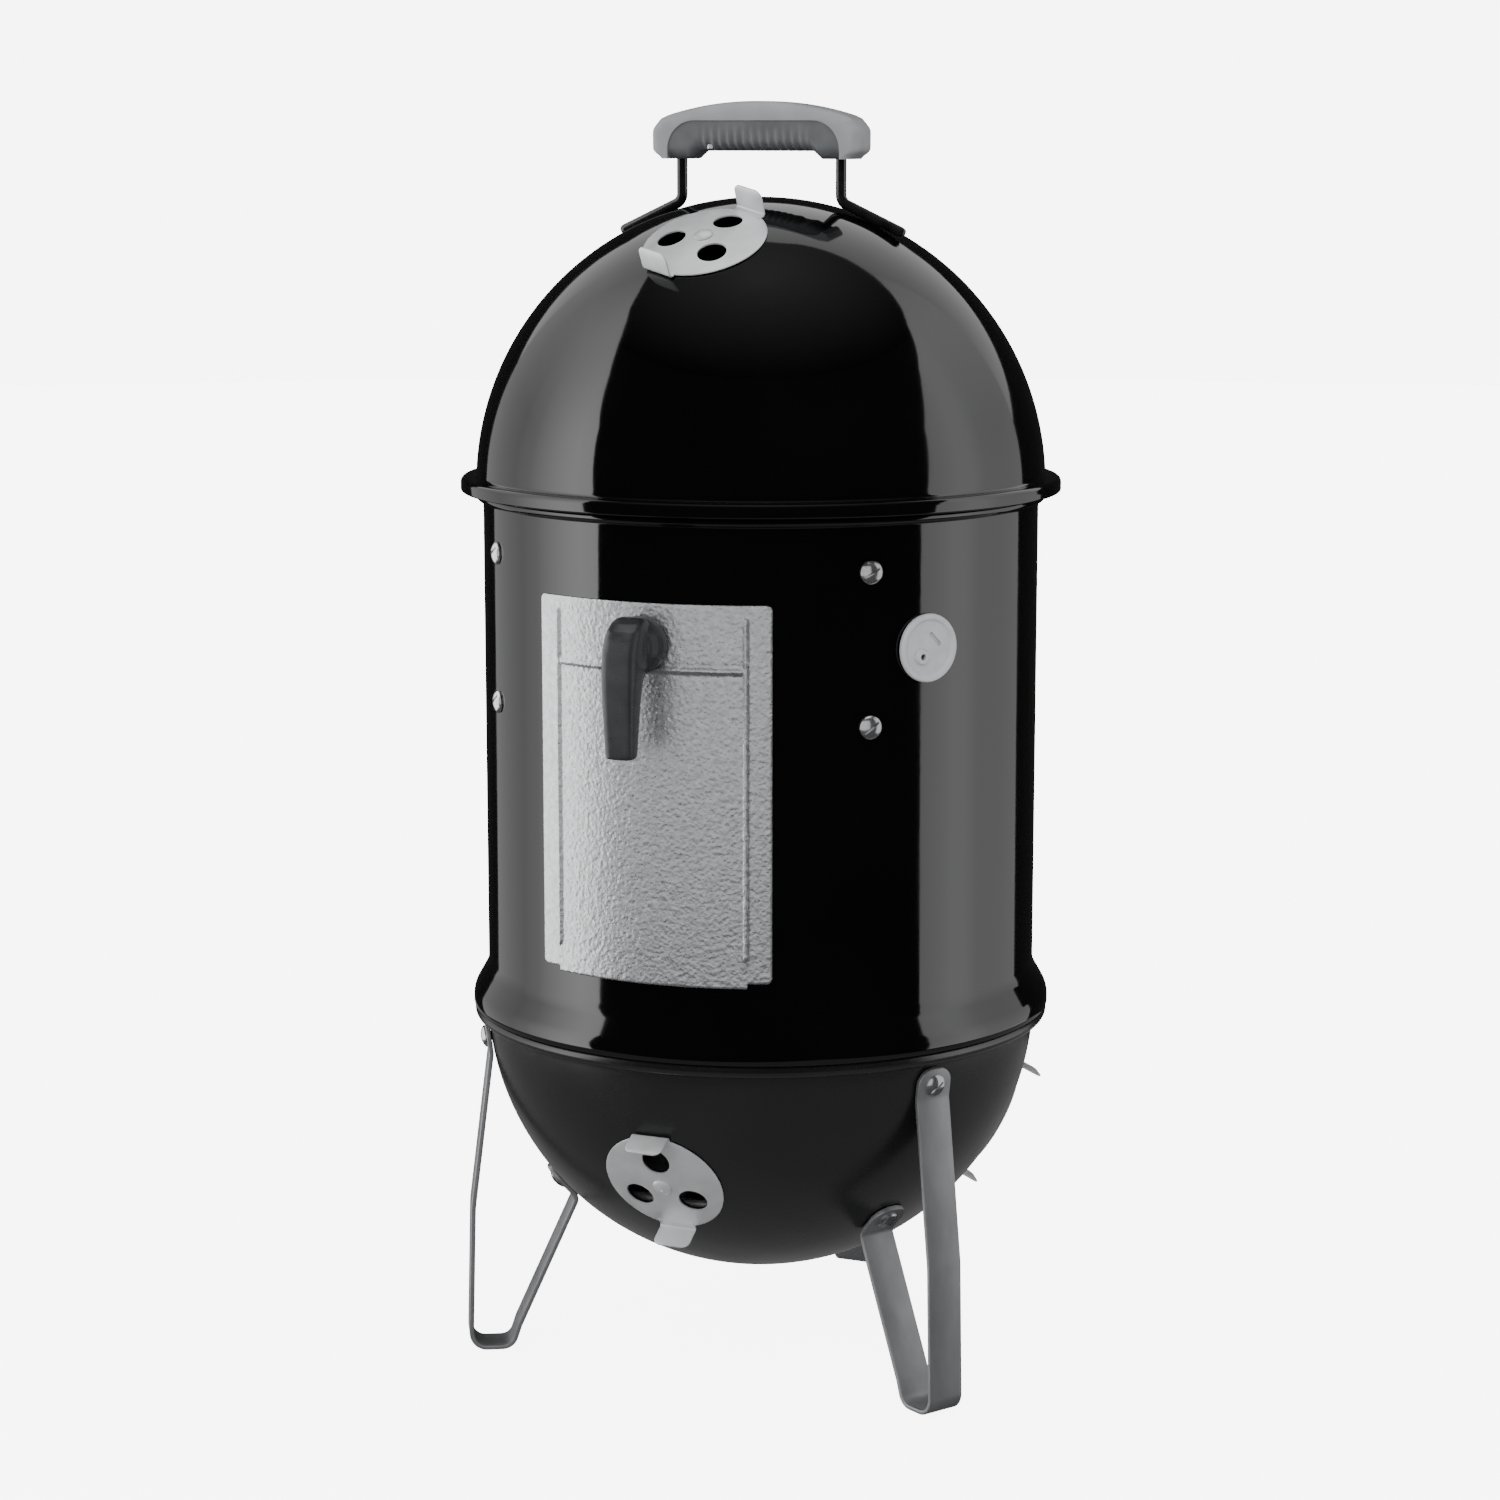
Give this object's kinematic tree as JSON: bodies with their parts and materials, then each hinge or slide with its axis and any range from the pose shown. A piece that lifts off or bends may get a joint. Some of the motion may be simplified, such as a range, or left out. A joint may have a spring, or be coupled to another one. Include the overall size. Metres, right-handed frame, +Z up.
{
  "type": "vertical water smoker",
  "caption": "Charcoal water smoker: enamelled bowl on bent strap legs, lift-off barrel with fuel door and grates, domed lid with handle, and rotary dampers.",
  "frame": {"origin": "on the ground under the barrel's vertical axis", "axes": "+Z up along the barrel's axis, the fuel door faces -Y, +X to the right seen from the door"},
  "size_m": [0.376, 0.4062, 0.794],
  "materials": {
    "enamel_black": "gloss porcelain enamel",
    "rod_black": "satin",
    "leg_steel": "satin plated",
    "bracket_steel": "satin",
    "charcoal_steel": "satin",
    "damper_aluminium": "satin",
    "door_aluminium": "hammered",
    "bolt_chrome": "bright",
    "grate_chrome": "bright",
    "handle_grey": "fine grained",
    "grip_grey": "ribbed",
    "latch_black": "satin",
    "grommet_grey": "satin silicone"
  },
  "bodies": {
    "base": {"bowl": "enamel_black", "leg_right": "leg_steel", "leg_left": "leg_steel", "leg_rear": "leg_steel", "leg_bolts": "bolt_chrome", "leg_nuts": "bolt_chrome", "bowl_damper_rivets": "damper_aluminium"},
    "bowl_damper_front": {"bowl_damper_front": "damper_aluminium"},
    "bowl_damper_right": {"bowl_damper_right": "damper_aluminium"},
    "bowl_damper_left": {"bowl_damper_left": "damper_aluminium"},
    "charcoal_grate": {"charcoal_grate": "charcoal_steel"},
    "charcoal_ring": {"charcoal_ring": "charcoal_steel"},
    "barrel": {"barrel": "enamel_black", "probe_grommet": "grommet_grey", "grate_bracket_front_right": "bracket_steel", "grate_bracket_front_left": "bracket_steel", "grate_bracket_rear_right": "bracket_steel", "grate_bracket_rear_left": "bracket_steel", "bracket_bolts": "bolt_chrome", "bracket_nuts": "bolt_chrome"},
    "fuel_door": {"fuel_door": "door_aluminium", "latch_bush": "bracket_steel"},
    "latch": {"latch_lever": "latch_black", "latch_cam": "bracket_steel", "latch_screw": "bolt_chrome"},
    "upper_grate": {"upper_cooking_grate": "grate_chrome"},
    "lower_grate": {"lower_cooking_grate": "grate_chrome"},
    "water_pan": {"water_pan": "enamel_black"},
    "lid": {"lid": "enamel_black", "handle_bracket": "rod_black", "handle_shell": "handle_grey", "handle_grip": "grip_grey", "handle_screws": "bolt_chrome", "lid_damper_rivet": "damper_aluminium"},
    "lid_damper": {"lid_damper": "damper_aluminium"}
  },
  "joints": [
    {"name": "bowl_damper_front_turn", "type": "hinge", "parent": "base", "child": "bowl_damper_front", "pos_m": [0, -0.1509, 0.14198], "axis": [0, -0.8613, -0.5081], "continuous": true},
    {"name": "bowl_damper_right_turn", "type": "hinge", "parent": "base", "child": "bowl_damper_right", "pos_m": [0.13068, 0.07545, 0.14198], "axis": [0.7459, 0.4307, -0.5081], "continuous": true},
    {"name": "bowl_damper_left_turn", "type": "hinge", "parent": "base", "child": "bowl_damper_left", "pos_m": [-0.13068, 0.07545, 0.14198], "axis": [-0.7459, 0.4307, -0.5081], "continuous": true},
    {"name": "charcoal_grate_lift", "type": "slide", "parent": "base", "child": "charcoal_grate", "axis": [0, 0, 1], "range_m": [0, 0.02]},
    {"name": "charcoal_ring_lift", "type": "slide", "parent": "charcoal_grate", "child": "charcoal_ring", "axis": [0, 0, 1], "range_m": [0, 0.03]},
    {"name": "barrel_lift", "type": "slide", "parent": "base", "child": "barrel", "axis": [0, 0, 1], "range_m": [0, 0.3]},
    {"name": "water_pan_lift", "type": "slide", "parent": "barrel", "child": "water_pan", "axis": [0, 0, 1], "range_m": [0, 0.015]},
    {"name": "lower_grate_lift", "type": "slide", "parent": "barrel", "child": "lower_grate", "axis": [0, 0, 1], "range_m": [0, 0.08]},
    {"name": "upper_grate_lift", "type": "slide", "parent": "barrel", "child": "upper_grate", "axis": [0, 0, 1], "range_m": [0, 0.015]},
    {"name": "door_open", "type": "hinge", "parent": "barrel", "child": "fuel_door", "pos_m": [0, -0.1754, 0.2736], "axis": [1, 0, 0], "range_deg": [0, 80]},
    {"name": "latch_turn", "type": "hinge", "parent": "fuel_door", "child": "latch", "pos_m": [0, -0.19, 0.479], "axis": [0, -1, 0], "range_deg": [0, 90]},
    {"name": "lid_lift", "type": "slide", "parent": "barrel", "child": "lid", "axis": [0, 0, 1], "range_m": [0, 0.25]},
    {"name": "lid_damper_turn", "type": "hinge", "parent": "lid", "child": "lid_damper", "pos_m": [0, -0.087, 0.71295], "axis": [0, -0.4877, 0.873], "continuous": true}
  ]
}
